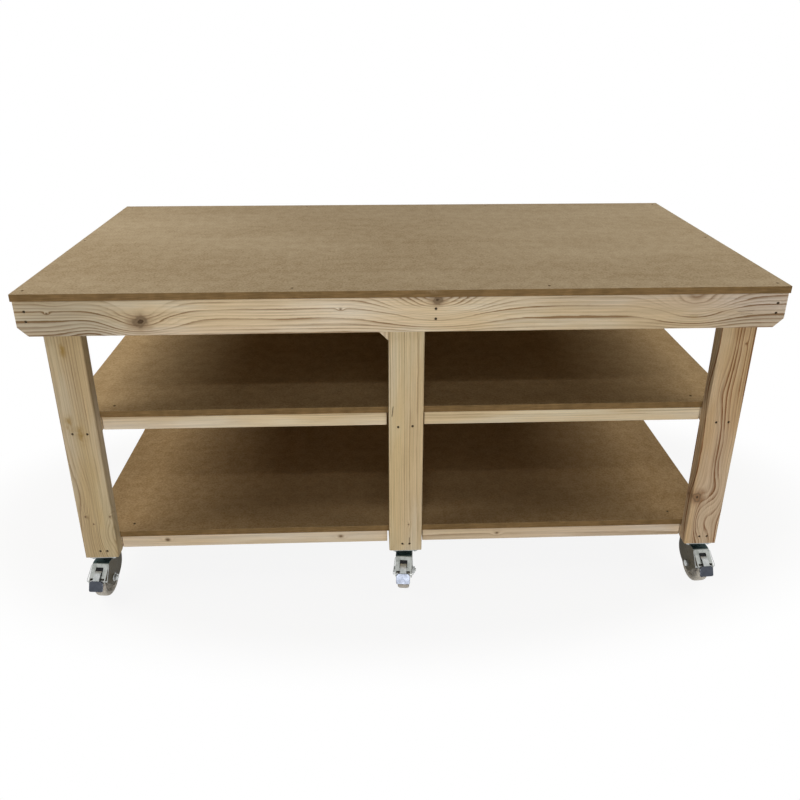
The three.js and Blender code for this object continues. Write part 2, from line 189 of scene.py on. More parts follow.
# Fibreboard colours
BOARD_DARK = (0.25, 0.178, 0.095, 1)
BOARD_LIGHT = (0.405, 0.318, 0.2, 1)
BOARD_EDGE = (0.2, 0.126, 0.054, 1)
BOARD_CHIP = (0.36, 0.26, 0.15, 1)
TOP_GLOSS = 0.06
TOP_MOTTLING = 0.5
# The chip in the edge of the top is placed in metres
TOP_CHIP_X = 0.061
CHIP_HALF = (0.013, 0.008)
SHELF_GLOSS = 0.0
SHELF_MOTTLING = 0.38
# Painted light and shade on the shelves, the same fibreboard as the top: the upper one brighter, the lower
# one darker and warmer
SHELF_PAINTED_TONES = {"upper_shelf": (1.2, 1.09, 0.92, 1), "lower_shelf": (0.95, 0.84, 0.69, 1)}

# Castor and screw colours, in pairs that are mixed, and ranges of roughness
ZINC = ((0.56, 0.575, 0.57, 1), (0.42, 0.445, 0.435, 1))
ZINC_ROUGHNESS = (0.24, 0.4)
FORK_ZINC = ((0.46, 0.475, 0.45, 1), (0.31, 0.33, 0.305, 1))
FORK_ROUGHNESS = (0.22, 0.38)
# Painted shade: the dark, dull colour of the fork's sides
FORK_CHEEK_SHADE = (0.11, 0.097, 0.063, 1)
# Painted shade: the dark teal of the fork's top under the plate
FORK_CROWN_SHADE = (0.1, 0.15, 0.15, 1)
FORK_GLOSS = 0.06
SLATE = ((0.085, 0.093, 0.112, 1), (0.066, 0.073, 0.09, 1))
SLATE_ROUGHNESS = (0.1, 0.18)
RUBBED_ZINC = (0.8, 0.8, 0.78, 1)
NYLON = ((0.41, 0.38, 0.32, 1), (0.54, 0.51, 0.45, 1))
NYLON_DIRT = (0.2, 0.18, 0.15, 1)
NYLON_EDGE = (0.56, 0.54, 0.5, 1)
# Near-black painted shade for the brake's spring leaf, which fills the guard's window
SPRING_SHADE_BLACK = ((0.012, 0.012, 0.013, 1), (0.03, 0.03, 0.03, 1))
SCREW_STEEL = ((0.035, 0.024, 0.014, 1), (0.085, 0.06, 0.032, 1))

# Stage
AMBIENT = (0.016, 0.009, 0.003, 1)
FLOOR_REACH = 30
FLOOR_COLOR = (0.5, 0.46, 0.41, 1)
FLOOR_WHITE = 0.9
SHADOW_REACH = (1.15, 1.6)
SHADOW_SHAPE = (1, 2, 1)

# Lights: name, place, target, size, power, and whether metal shows it
LIGHTS = (
    ("ceiling_left", (-2.45, 0.0, 2.55), (-0.6, -0.1, 0.6), (2.4, 1.8), 78, False),
    ("ceiling_right", (2.45, 0.0, 2.55), (0.6, -0.1, 0.6), (2.4, 1.8), 58, False),
    ("wall_high", (0.2, -4.2, 3.2), (0, 0, 1.0), (3.2, 2.6), 14, False),
    ("wall_low", (0.2, -4.2, 0.45), (0, 0, 0.5), (2.2, 0.8), 55, False),
    ("wall_rear", (0, 4.2, 0.1), (0, 0, 0.5), (2.2, 0.16), 30, False),
    ("lamp", (-0.2, -2.45, 2.95), (0, -0.35, 0.6), (0.5, 0.12), 8, False),
    ("glint", (-0.43, -4.1, 0.34), (0, -0.45, 0.06), (0.8, 0.6), 15, True),
)

# Which object axes run along the grain, across the wide face and through the thickness
ALONG_X = (0, 2, 1)
ALONG_X_FLAT = (0, 1, 2)
ALONG_Y = (1, 2, 0)
ALONG_Y_FLAT = (1, 0, 2)
ALONG_Z = (2, 0, 1)

# In metres, the height over which a timber stands on edge and over which length it gets a knot
ON_EDGE_HEIGHT = 0.05
KNOT_LENGTH = 0.4

# What is known of a timber's grain, and of the light and shade painted on it. Along and across places are in
# metres and sizes in millimetres: knots have a place, size and lift, swirls a place, two reaches and a lift,
# stains a place, two reaches and a strength, painted light and shade a place along, a reach and a tint, and
# cracks a start, end, place across, lean and width.
GRAIN_NOTES = {
    "front_apron": dict(
        seed=3.1, spacing=9.0, pith=(-150, 60), wander=7.0, contrast=1.35, tone=(0.97, 0.97, 0.97, 1),
        knots=[(-0.628, 0.828, 18, 10), (0.070, 0.874, 13, 6), (-0.838, 0.851, 2.4, 8),
               (-0.158, 0.854, 2.8, 7)],
        swirls=[(-0.625, 0.842, 80, 40, 36), (0.070, 0.875, 115, 60, 62), (0.690, 0.860, 85, 52, 50),
                (-0.815, 0.890, 30, 20, 16), (-0.74, 0.80, 60, 30, -14)],
        stains=[(0.690, 0.826, 9, 6, 0.5)],
        # Painted shade at the fascia's ends and painted light in its middle
        light_and_shade=[(-0.80, 170, (0.68, 0.68, 0.68, 1)), (-0.17, 150, (1.03, 1.07, 1.18, 1)),
                (0.55, 330, (0.84, 0.83, 0.82, 1)), (0.86, 120, (0.86, 0.85, 0.85, 1))],
        cracks=[(0.79, 0.84, 0.836, 0.06, 0.8), (0.80, 0.835, 0.829, 0.03, 0.7)]),
    "leg_front_left": dict(
        seed=8.3, spacing=5.2, pith=(-75, 40), wander=4.5, contrast=0.85, tone=(0.72, 0.69, 0.59, 1),
        knots=[(0.259, -0.854, 2.8, 8), (0.257, -0.790, 2.8, 9), (0.235, -0.836, 2.0, 6)],
        swirls=[(0.20, -0.81, 70, 34, 20), (0.33, -0.84, 90, 40, -10)],
        stains=[(0.742, -0.834, 22, 8, 0.95), (0.540, -0.852, 24, 10, 0.9), (0.510, -0.826, 26, 11, 0.95)]),
    "leg_front_middle": dict(
        seed=5.7, spacing=5.0, pith=(55, 46), wander=5.0, contrast=0.75, tone=(0.86, 0.84, 0.72, 1),
        knots=[(0.211, 0.008, 2.4, 5)],
        cracks=[(0.577, 0.542, -0.0335, 0.1, 1.7), (0.150, 0.170, 0.0105, 0.0, 1.3)]),
    "leg_front_right": dict(
        seed=11.9, spacing=6.8, pith=(-110, 50), wander=6.0, contrast=1.8, line_start=0.3, line=RED_LATEWOOD,
        knot=RED_KNOT, tone=(0.77, 0.68, 0.56, 1), knots=[(0.280, 0.798, 15, 10), (0.735, 0.852, 2.2, 5)],
        swirls=[(0.60, 0.80, 80, 40, 12), (0.44, 0.86, 80, 40, -6), (0.30, 0.85, 60, 34, -18),
                (0.20, 0.82, 60, 34, 24)]),
    "upper_front_rail_left": dict(
        seed=2.2, contrast=0.5, spacing=7.0, pith=(30, -60), tone=(0.96, 0.96, 0.94, 1)),
    "upper_front_rail_right": dict(
        seed=4.4, contrast=0.5, spacing=7.5, pith=(-40, -70), tone=(0.93, 0.93, 0.9, 1)),
    "lower_front_rail_left": dict(
        grain=ALONG_X, seed=6.9, contrast=0.5, spacing=6.5, pith=(-40, 60), tone=(0.95, 0.95, 0.95, 1),
        knots=[(-0.66, 0.147, 5, 8), (-0.18, 0.146, 5, 8)]),
    "lower_front_rail_right": dict(
        grain=ALONG_X, seed=9.4, contrast=0.5, spacing=7.0, pith=(-40, 60), tone=(0.92, 0.92, 0.92, 1),
        knots=[(0.26, 0.146, 4, 8)]),
}

# Where the screws are: the way they face, the level of that face, and their places on it in millimetres.
# The ones at the rear are guessed from those at the front.
APRON_SCREWS = ((-889, 856), (-889, 831), (67, 852), (67, 826.5), (890, 856), (890, 831))
LEG_SCREWS = {
    "left": ((-848, 510), (-811, 509), (-832, 145.6), (-813, 145.6)),
    "middle": ((-20.6, 514), (16.4, 516), (-8.5, 147), (11, 147)),
    "right": ((813, 511.5), (846, 511.5), (824.6, 148.5), (846, 148.5)),
}
SCREWS = {
    "table_top": ("up", 900, (
        (-894, -431), (-271, -432.5), (337.5, -434.5), (891, -433.5), (-903, 11.6), (895, -7.3),
        (-890, 432), (-300, 434), (310, 431), (893, 433))),
    "front_apron": ("front", -454.5, APRON_SCREWS),
    "rear_apron": ("rear", 454.5, APRON_SCREWS),
}
for column, spots in LEG_SCREWS.items():
    SCREWS[f"leg_front_{column}"] = ("front", -416.5, spots)
    SCREWS[f"leg_rear_{column}"] = ("rear", 416.5, spots)
SCREWS["upper_shelf"] = ("up", 554, ((-757.6, -348), (767, -344), (-760, 345), (764, 347)))
SCREWS["lower_shelf"] = ("up", 181, ((-755.6, -343.5), (757.6, -340.6), (-758, 342), (755, 344)))
SCREW_SEED = 7
FACINGS = {
    "up": Matrix.Identity(4),
    "front": Matrix.Rotation(math.pi / 2, 4, "X"),
    "rear": Matrix.Rotation(-math.pi / 2, 4, "X"),
}


class Graph:
    """Short calls for building the nodes of a material"""

    def __init__(self, name):
        self.material = bpy.data.materials.new(name)
        self.material.use_nodes = True
        self.tree = self.material.node_tree
        self.shader = self.tree.nodes["Principled BSDF"]

    def put(self, socket, value):
        if isinstance(value, bpy.types.NodeSocket):
            self.tree.links.new(value, socket)
        else:
            socket.default_value = value

    def add(self, kind, inputs=None, **settings):
        node = self.tree.nodes.new("ShaderNode" + kind)
        for name, value in settings.items():
            setattr(node, name, value)
        for name, value in (inputs or {}).items():
            self.put(node.inputs[name], value)
        return node

    def math(self, operation, *values, clamp=False):
        node = self.add("Math", operation=operation, use_clamp=clamp)
        for socket, value in zip(node.inputs, values):
            self.put(socket, value)
        return node.outputs[0]

    def vector(self, operation, a, b):
        node = self.add("VectorMath", operation=operation)
        self.put(node.inputs[0], a)
        self.put(node.inputs[1], b)
        return node.outputs[0]

    def mix(self, factor, a, b, blend="MIX"):
        node = self.add("Mix", data_type="RGBA", blend_type=blend)
        self.put(node.inputs[0], factor)
        self.put(node.inputs[6], a)
        self.put(node.inputs[7], b)
        return node.outputs[2]

    def times(self, color, tint):
        return self.mix(1.0, color, tint, "MULTIPLY")

    def noise(self, vector, scale=1.0, detail=2.0, roughness=0.5, distortion=0.0):
        node = self.add("TexNoise", {"Vector": vector, "Scale": scale, "Detail": detail,
                                     "Roughness": roughness, "Distortion": distortion})
        return node.outputs[0]

    def about_zero(self, value):
        return self.math("SUBTRACT", value, 0.5)

    def remap(self, value, low, high, to_low=0.0, to_high=1.0, smooth=True):
        kind = "SMOOTHSTEP" if smooth else "LINEAR"
        node = self.add("MapRange", {"Value": value, "From Min": low, "From Max": high,
                                     "To Min": to_low, "To Max": to_high}, interpolation_type=kind)
        return node.outputs[0]

    def ramp(self, value, stops):
        node = self.add("ValToRGB", {"Fac": value})
        elements = node.color_ramp.elements
        while len(elements) < len(stops):
            elements.new(0.5)
        for element, (place, grey) in zip(elements, stops):
            element.position = place
            element.color = (grey, grey, grey, 1)
        return node.outputs[0]

    def total(self, values):
        whole = values[0]
        for value in values[1:]:
            whole = self.math("ADD", whole, value)
        return whole

    def squares(self, *values):
        return self.total([self.math("MULTIPLY", value, value) for value in values])

    def hill(self, *offsets):
        """1 where all offsets are 0, falling away from there as a bell curve"""
        return self.math("POWER", math.e, self.math("MULTIPLY", self.squares(*offsets), -1.0))

    def offset(self, value, middle, width):
        return self.math("DIVIDE", self.math("SUBTRACT", value, middle), width)

    def edges(self, radius, low, high):
        """1 along sharp edges and 0 on flats"""
        soft = self.add("Bevel", {"Radius": radius}, samples=4).outputs[0]
        flat = self.add("NewGeometry").outputs["Normal"]
        dot = self.add("VectorMath", operation="DOT_PRODUCT")
        self.put(dot.inputs[0], soft)
        self.put(dot.inputs[1], flat)
        return self.remap(dot.outputs["Value"], 1 - low, 1 - high)

    def finish(self, color, roughness, height, bump, depth):
        self.put(self.shader.inputs["Base Color"], color)
        self.put(self.shader.inputs["Roughness"], roughness)
        node = self.add("Bump", {"Height": height, "Strength": bump, "Distance": depth})
        self.put(self.shader.inputs["Normal"], node.outputs[0])
        return self.material


# Softwood. Places u, v and w run along the grain, across the wide face and through the thickness.
def ring_phase(g, stretched, places, pith_place, spacing, wander, swirls, knots):
    """Growth rings about a pith line, counted outwards, bent by noise and by each knot and swirl"""
    u, v, w = places
    slow = g.about_zero(g.noise(stretched(1.6, 6), detail=2))
    quick = g.about_zero(g.noise(stretched(9, 42), detail=2))
    wisp = g.about_zero(g.noise(stretched(24, 260), detail=3, roughness=0.65))
    crowd = g.about_zero(g.noise(stretched(0.25, 34), detail=1))
    dv = g.math("SUBTRACT", v, pith_place[0])
    dw = g.math("SUBTRACT", w, pith_place[1])
    terms = [g.math("SQRT", g.squares(dv, dw)),
             g.math("MULTIPLY", slow, 2 * wander * MM),
             g.math("MULTIPLY", quick, 0.4 * wander * MM),
             g.math("MULTIPLY", wisp, 0.4 * spacing * MM),
             g.math("MULTIPLY", crowd, 1.6 * spacing * MM)]
    bends = list(swirls)
    for along, across, size, lift in knots:
        bends.append((along, across, 3.4 * size, 2.1 * size, lift))
    for along, across, reach_u, reach_v, lift in bends:
        hill = g.hill(g.offset(u, along, reach_u * MM), g.offset(v, across, reach_v * MM))
        terms.append(g.math("MULTIPLY", hill, lift * MM))
    return g.math("DIVIDE", g.total(terms), spacing * MM)


def line_depth(g, stretched, phase, seed, line_start, contrast):
    """How dark the late wood is: a line at the end of each ring, some strong and some faint"""
    ring = g.math("FRACT", phase)
    number = g.math("ADD", g.math("FLOOR", phase), seed)
    chance = g.add("TexWhiteNoise", {"W": number}, noise_dimensions="1D").outputs["Value"]
    stops = [(0.0, 0.3), (0.12, 0.02), (line_start, 0.12), (0.74, 0.6), (0.89, 1.0), (1.0, 0.35)]
    strength = g.remap(chance, 0, 1, 0.15 * contrast, 1.3 * contrast, smooth=False)
    fading = g.noise(stretched(4, 30), detail=2)
    depth = g.math("MULTIPLY", g.ramp(ring, stops), strength)
    return g.math("MULTIPLY", depth, g.remap(fading, 0.3, 0.7, 0.25, 1.25))


def wood_color(g, stretched, depth, fibre, line):
    """Pale patches, ring lines, fibres, a slow change of tint and short dark pores"""
    patch = g.noise(stretched(3, 16), detail=3)
    tint = g.noise(stretched(1.2, 9), detail=2)
    pore = g.noise(stretched(70, 1500), detail=1)
    color = g.mix(g.remap(patch, 0.4, 0.66), EARLYWOOD, PALE_PATCH)
    color = g.mix(depth, color, line)
    color = g.times(color, g.remap(fibre, 0.3, 0.7, 0.86, 1.1))
    color = g.times(color, g.mix(g.remap(tint, 0.35, 0.65), YELLOW_TINT, PINK_TINT))
    return g.mix(g.remap(pore, 0.66, 0.76, 0, 0.35), color, LATEWOOD)


# Broad tints along a timber: painted light where a tint is above 1, painted shade where it is below
def draw_painted_light_and_shade(g, color, u, light_and_shade):
    for along, reach, shade in light_and_shade:
        hill = g.hill(g.offset(u, along, reach * MM))
        color = g.mix(hill, color, g.times(color, shade))
    return color


def draw_knots(g, color, u, v, rough_edge, knots, knot, line):
    """A halo, rings of two browns and a dark heart"""
    for along, across, size, _ in knots:
        du = g.offset(u, along, size * MM)
        dv = g.offset(v, across, 0.78 * size * MM)
        far = g.math("SQRT", g.squares(du, dv))
        far = g.math("ADD", far, g.math("MULTIPLY", g.about_zero(rough_edge), 1.3))
        color = g.mix(g.remap(far, 2.5, 0.9, 0, 0.6), color, line)
        turns = g.math("SINE", g.math("MULTIPLY", far, 9.0))
        core = g.mix(g.remap(turns, -1, 1), knot, KNOT_RIM)
        color = g.mix(g.remap(far, 1.45, 0.5, 0, 0.92), color, core)
        color = g.mix(g.remap(far, 0.42, 0.12, 0, 0.75), color, CRACK)
    return color


def draw_stains(g, color, u, v, rough_edge, stains):
    for along, across, reach_u, reach_v, strength in stains:
        hill = g.hill(g.offset(u, along, reach_u * MM), g.offset(v, across, reach_v * MM))
        patch = g.math("MULTIPLY", hill, g.remap(rough_edge, 0.35, 0.6, 0.35, 1.0))
        color = g.mix(g.math("MULTIPLY", patch, strength), color, RESIN)
    return color


def draw_cracks(g, color, u, v, rough_edge, cracks):
    for start, end, across, lean, width in cracks:
        middle = g.math("ADD", g.math("MULTIPLY", g.math("SUBTRACT", u, start), lean), across)
        middle = g.math("ADD", middle, g.math("MULTIPLY", g.about_zero(rough_edge), 1.5 * MM))
        away = g.math("ABSOLUTE", g.math("SUBTRACT", v, middle))
        length = abs(end - start)
        from_centre = g.math("ABSOLUTE", g.math("SUBTRACT", u, (start + end) / 2))
        along = g.remap(from_centre, length / 2, length / 3)
        mark = g.math("MULTIPLY", g.remap(away, width * MM, 0.3 * width * MM), along)
        color = g.mix(g.math("MULTIPLY", mark, 0.85), color, CRACK)
    return color


def softwood(name, grain, centre, seed, spacing, pith, wander, contrast, line_start=0.45, line=LATEWOOD,
             knot=KNOT_BROWN, tone=WHITE, knots=(), swirls=(), stains=(), light_and_shade=(), cracks=()):
    g = Graph(name)
    coordinates = g.add("TexCoord")
    parts = g.add("SeparateXYZ", {"Vector": coordinates.outputs["Object"]}).outputs
    u, v, w = (parts[axis] for axis in grain)
    local = g.add("CombineXYZ", {"X": u, "Y": v, "Z": w}).outputs[0]
    shifted = g.vector("ADD", local, (seed * 1.37, seed * 0.71, seed * 0.53))

    def stretched(along, across):
        return g.vector("MULTIPLY", shifted, (along, across, across))

    pith_place = (centre[grain[1]] + pith[0] * MM, centre[grain[2]] + pith[1] * MM)
    phase = ring_phase(g, stretched, (u, v, w), pith_place, spacing, wander, swirls, knots)
    depth = line_depth(g, stretched, phase, seed, line_start, contrast)
    fibre = g.noise(stretched(5, 420), detail=3, roughness=0.6)
    rough_edge = g.noise(stretched(60, 60), detail=2)
    color = g.times(wood_color(g, stretched, depth, fibre, line), tone)
    # Painted light and shade along the timber
    color = draw_painted_light_and_shade(g, color, u, light_and_shade)
    color = draw_knots(g, color, u, v, rough_edge, knots, knot, line)
    color = draw_stains(g, color, u, v, rough_edge, stains)
    color = draw_cracks(g, color, u, v, rough_edge, cracks)

    normal = g.add("SeparateXYZ", {"Vector": coordinates.outputs["Normal"]}).outputs[grain[0]]
    end_grain = g.remap(g.math("ABSOLUTE", normal), 0.6, 0.9)
    color = g.mix(g.math("MULTIPLY", end_grain, 0.8), color, END_GRAIN_TINT, "MULTIPLY")
    worn = g.math("MULTIPLY", g.edges(0.003, 0.02, 0.3), g.remap(rough_edge, 0.35, 0.65))
    color = g.mix(g.math("MULTIPLY", worn, 0.28), color, EARLYWOOD)
    roughness = g.math("ADD", g.remap(fibre, 0.3, 0.7, 0.5, 0.66), g.math("MULTIPLY", end_grain, 0.2))
    height = g.math("SUBTRACT", g.math("MULTIPLY", fibre, 0.7), g.math("MULTIPLY", depth, 0.35))
    g.shader.inputs["Specular IOR Level"].default_value = WOOD_GLOSS
    return g.finish(color, roughness, height, bump=0.22, depth=0.0006)


def sawn_edge(g, coordinates, place, mottle, blotch, chip_x):
    """The board's layered edge, with a pale chip on its upper arris where chip_x gives one"""
    layers = g.noise(g.vector("MULTIPLY", place, (26, 26, 900)), detail=3)
    sawn = g.times(BOARD_EDGE, g.remap(layers, 0.3, 0.7, 0.8, 1.22))
    sawn = g.times(sawn, g.remap(blotch, 0.3, 0.7, 0.88, 1.12))
    if chip_x is None:
        return sawn
    x, _, z = g.add("SeparateXYZ", {"Vector": coordinates.outputs["Object"]}).outputs
    chip = g.hill(g.offset(x, chip_x, CHIP_HALF[0]), g.offset(z, TOP_HEIGHT, CHIP_HALF[1]))
    return g.mix(g.math("MULTIPLY", chip, g.remap(mottle, 0.35, 0.6, 0.1, 0.9)), sawn, BOARD_CHIP)


def fibreboard(name, seed, tone, gloss, mottling, chip_x=None):
    """Pressed wood fibre: fine mottle, short pale fibres, faint bands and a darker sawn edge"""
    g = Graph(name)
    coordinates = g.add("TexCoord")
    place = g.vector("ADD", coordinates.outputs["Object"], (seed * 1.9, seed * 0.7, seed * 0.3))

    def fibres(turn):
        rotated = g.add("VectorRotate", {"Vector": place, "Angle": turn}, rotation_type="Z_AXIS").outputs[0]
        return g.noise(g.vector("MULTIPLY", rotated, (190, 1150, 700)), detail=1, distortion=0.6)

    mottle = g.noise(place, 170, detail=6, roughness=0.75)
    blotch = g.noise(place, 34, detail=4, roughness=0.6)
    cloud = g.noise(g.vector("MULTIPLY", place, (0.9, 2.2, 1)), 1.6, detail=2)
    band = g.noise(g.vector("MULTIPLY", place, (0.5, 26, 26)), detail=3, roughness=0.6)
    strands = g.math("MAXIMUM", fibres(0.5), fibres(-0.9))
    value = g.total([
        g.remap(mottle, 0.3, 0.7, -mottling, mottling),
        g.remap(blotch, 0.3, 0.7, -0.16, 0.16),
        g.remap(cloud, 0.3, 0.7, -0.16, 0.16),
        g.remap(band, 0.3, 0.7, -0.05, 0.05),
        g.remap(strands, 0.62, 0.8, 0.0, 0.3),
    ])
    color = g.mix(g.math("ADD", value, 0.5, clamp=True), BOARD_DARK, BOARD_LIGHT)
    # The tone is white for the top; for the shelves it is painted light and shade
    color = g.times(color, tone)

    normal = g.add("SeparateXYZ", {"Vector": coordinates.outputs["Normal"]}).outputs[2]
    side = g.remap(g.math("ABSOLUTE", normal), 0.7, 0.4)
    color = g.mix(side, color, sawn_edge(g, coordinates, place, mottle, blotch, chip_x))
    worn = g.edges(0.0025, 0.02, 0.3)
    color = g.mix(g.math("MULTIPLY", worn, 0.35), color, BOARD_LIGHT)
    roughness = g.remap(mottle, 0.3, 0.7, 0.6, 0.78)
    height = g.math("ADD", g.math("MULTIPLY", mottle, 0.6), g.math("MULTIPLY", strands, 0.4))
    g.shader.inputs["Specular IOR Level"].default_value = gloss
    return g.finish(color, roughness, height, bump=0.12, depth=0.0004)


def plated(name, colors, roughness_range, cheek_shade=None, crown=None):
    """Zinc-plated steel: cloudy passivation, fine scratches and bright rubbed edges.
    A fork gets painted shade: dark, dull sides, and a dark teal top under the plate."""
    g = Graph(name)
    coordinates = g.add("TexCoord")
    place = coordinates.outputs["Object"]
    cloud = g.noise(place, 55, detail=3)
    grain = g.noise(g.vector("MULTIPLY", place, (300, 2200, 300)), detail=2)
    speckle = g.noise(place, 900, detail=2)
    color = g.mix(g.remap(cloud, 0.35, 0.65), *colors)
    g.shader.inputs["Metallic"].default_value = 0.95
    if cheek_shade is not None:
        across, _, upward = g.add("SeparateXYZ", {"Vector": coordinates.outputs["Normal"]}).outputs
        # Painted shade: the fork's sides take a dark, dull colour
        painted_side_shade = g.remap(g.math("ABSOLUTE", across), 0.6, 0.9)
        color = g.mix(painted_side_shade, color, cheek_shade)
        # Painted shade: the fork's upward faces take a dark teal under the plate
        color = g.mix(g.remap(upward, 0.85, 0.97), color, crown)
        g.put(g.shader.inputs["Metallic"], g.remap(painted_side_shade, 0, 1, 0.95, 0.05))
        g.shader.inputs["Specular IOR Level"].default_value = FORK_GLOSS
    color = g.times(color, g.remap(speckle, 0.3, 0.7, 0.9, 1.06))
    worn = g.edges(0.0012, 0.03, 0.3)
    color = g.mix(g.math("MULTIPLY", worn, 0.5), color, RUBBED_ZINC)
    roughness = g.math("ADD", g.remap(cloud, 0.3, 0.7, *roughness_range), g.math("MULTIPLY", grain, 0.08))
    return g.finish(color, roughness, g.math("ADD", grain, speckle), bump=0.06, depth=0.0002)


def nylon(name):
    """Moulded grey nylon: slight mottling and scuffs"""
    g = Graph(name)
    place = g.add("TexCoord").outputs["Object"]
    mottle = g.noise(place, 140, detail=3)
    scuff = g.noise(g.vector("MULTIPLY", place, (90, 600, 600)), detail=3, roughness=0.6)
    color = g.mix(g.remap(mottle, 0.3, 0.7), *NYLON)
    color = g.mix(g.remap(scuff, 0.55, 0.75, 0, 0.45), color, NYLON_DIRT)
    worn = g.edges(0.002, 0.03, 0.35)
    color = g.mix(g.math("MULTIPLY", worn, 0.4), color, NYLON_EDGE)
    return g.finish(color, g.remap(scuff, 0.3, 0.7, 0.42, 0.62), scuff, bump=0.12, depth=0.0004)


def dark_metal(name, colors):
    """Waxed wood-screw heads, and the brake's spring leaf in near-black painted shade"""
    g = Graph(name)
    place = g.add("TexCoord").outputs["Object"]
    speckle = g.noise(place, 1400, detail=2)
    color = g.mix(g.remap(speckle, 0.35, 0.65), *colors)
    g.shader.inputs["Metallic"].default_value = 0.8
    return g.finish(color, g.remap(speckle, 0.3, 0.7, 0.4, 0.6), speckle, bump=0.1, depth=0.0002)


# Meshes
def link(name, mesh):
    piece = bpy.data.objects.new(name, mesh)
    bpy.context.scene.collection.objects.link(piece)
    return piece


def mesh_from(name, points, faces):
    mesh = bpy.data.meshes.new(name)
    mesh.from_pydata(points, [], faces)
    work = bmesh.new()
    work.from_mesh(mesh)
    bmesh.ops.remove_doubles(work, verts=work.verts, dist=1e-7)
    bmesh.ops.recalc_face_normals(work, faces=work.faces)
    work.to_mesh(mesh)
    work.free()
    return mesh


def gathered(name, work):
    """The mesh of a finished bmesh"""
    mesh = bpy.data.meshes.new(name)
    work.to_mesh(mesh)
    work.free()
    return mesh


def between(name, first, second):
    """A closed solid between two outlines, given as points in millimetres"""
    count = len(first)
    points = [[place * MM for place in point] for point in (*first, *second)]
    faces = [tuple(range(count)), tuple(range(count, 2 * count))]
    faces += [(i, (i + 1) % count, count + (i + 1) % count, count + i) for i in range(count)]
    return mesh_from(name, points, faces)


def prism(name, outline, width):
    """A side view, given as [forward, height] in millimetres, with its width across"""
    return between(name, *([(side * width / 2, -forward, height) for forward, height in outline]
                           for side in (-1, 1)))


def sheet(name, outline, low, high):
    """A plan view, given as [across, back] in millimetres, between two heights"""
    return between(name, *([(x, y, z) for x, y in outline] for z in (low, high)))


def lathe(name, profile, steps, axis="Z"):
    """A closed profile of [radius, place] in millimetres, turned about an axis"""
    points = []
    for i in range(steps):
        turn = 2 * math.pi * i / steps
        for radius, place in profile:
            flat = (radius * MM * math.cos(turn), radius * MM * math.sin(turn))
            points.append((place * MM, *flat) if axis == "X" else (*flat, place * MM))
    count = len(profile)
    faces = []
    for i in range(steps):
        following = (i + 1) % steps
        for j in range(count):
            ahead = (j + 1) % count
            faces.append((i * count + j, i * count + ahead, following * count + ahead, following * count + j))
    return mesh_from(name, points, faces)


def rod(name, radius, start, end, steps, axis="Z"):
    return lathe(name, [(AXIS, start), (radius, start), (radius, end), (AXIS, end)], steps, axis)


def tube(name, path, radius, sides=8):
    """A round wire through points given as [across, forward, height] in millimetres"""
    line = [Vector((across, -forward, height)) * MM for across, forward, height in path]
    points, faces = [], []
    first = None
    for i, point in enumerate(line):
        along = (line[min(i + 1, len(line) - 1)] - line[max(i - 1, 0)]).normalized()
        first = along.orthogonal() if first is None else first - along * first.dot(along)
        first.normalize()
        second = along.cross(first)
        for j in range(sides):
            turn = 2 * math.pi * j / sides
            points.append(point + (first * math.cos(turn) + second * math.sin(turn)) * radius * MM)
    for i in range(len(line) - 1):
        for j in range(sides):
            ahead = (j + 1) % sides
            faces.append((i * sides + j, i * sides + ahead, (i + 1) * sides + ahead, (i + 1) * sides + j))
    faces += [tuple(range(sides)), tuple(range(len(points) - sides, len(points)))]
    return mesh_from(name, points, faces)


def shift(mesh, forward=0.0, height=0.0, across=0.0):
    mesh.transform(Matrix.Translation((across * MM, -forward * MM, height * MM)))
    return mesh


def smoothed(mesh, angle=35):
    mesh.polygons.foreach_set("use_smooth", [True] * len(mesh.polygons))
    mesh.set_sharp_from_angle(angle=math.radians(angle))
    return mesh


def round_edges(piece, width, steps=2):
    modifier = piece.modifiers.new("round", "BEVEL")
    modifier.width = width * MM
    modifier.segments = steps
    modifier.limit_method = "ANGLE"
    modifier.angle_limit = ROUNDED_ANGLE
    modifier.harden_normals = True


def combine(piece, other, operation):
    modifier = piece.modifiers.new("combine", "BOOLEAN")
    modifier.operation = operation
    modifier.object = other
    modifier.solver = "EXACT"


def carved(name, base, cuts=(), adds=(), bevel=0.0, steps=2):
    """Joins and cuts meshes, rounds the edges and gives back one mesh"""
    body = link(name, smoothed(base))
    helpers = []
    for operation, meshes in (("UNION", adds), ("DIFFERENCE", cuts)):
        for mesh in meshes:
            helper = link(name + "_helper", smoothed(mesh))
            helpers.append(helper)
            combine(body, helper, operation)
    if bevel:
        round_edges(body, bevel, steps)
        body.modifiers.new("flats", "WEIGHTED_NORMAL").keep_sharp = True
    graph = bpy.context.evaluated_depsgraph_get()
    graph.update()
    made = bpy.data.meshes.new_from_object(body.evaluated_get(graph))
    for piece in [body, *helpers]:
        bpy.data.objects.remove(piece)
    made.name = name
    return made


def arc(centre, radius, start, end, steps):
    turns = [math.radians(start + (end - start) * i / steps) for i in range(steps + 1)]
    return [(centre[0] + radius * math.cos(t), centre[1] + radius * math.sin(t)) for t in turns]


def curve(start, control, end, steps):
    points = []
    for i in range(1, steps + 1):
        t = i / steps
        weights = ((1 - t) ** 2, 2 * t * (1 - t), t ** 2)
        corners = (start, control, end)
        points.append(tuple(sum(k * p[axis] for k, p in zip(weights, corners)) for axis in (0, 1)))
    return points


# Castors. Side views give [forward of the swivel pin, above the floor] in millimetres.
def on_guard(along, out):
    cos, sin = math.cos(GUARD_SLOPE), math.sin(GUARD_SLOPE)
    return (GUARD_START + along * cos + out * sin, CROWN_TOP - along * sin + out * cos)


PEDAL_PIN = on_guard(PEDAL_PIN_ALONG, PEDAL_PIN_OUT)


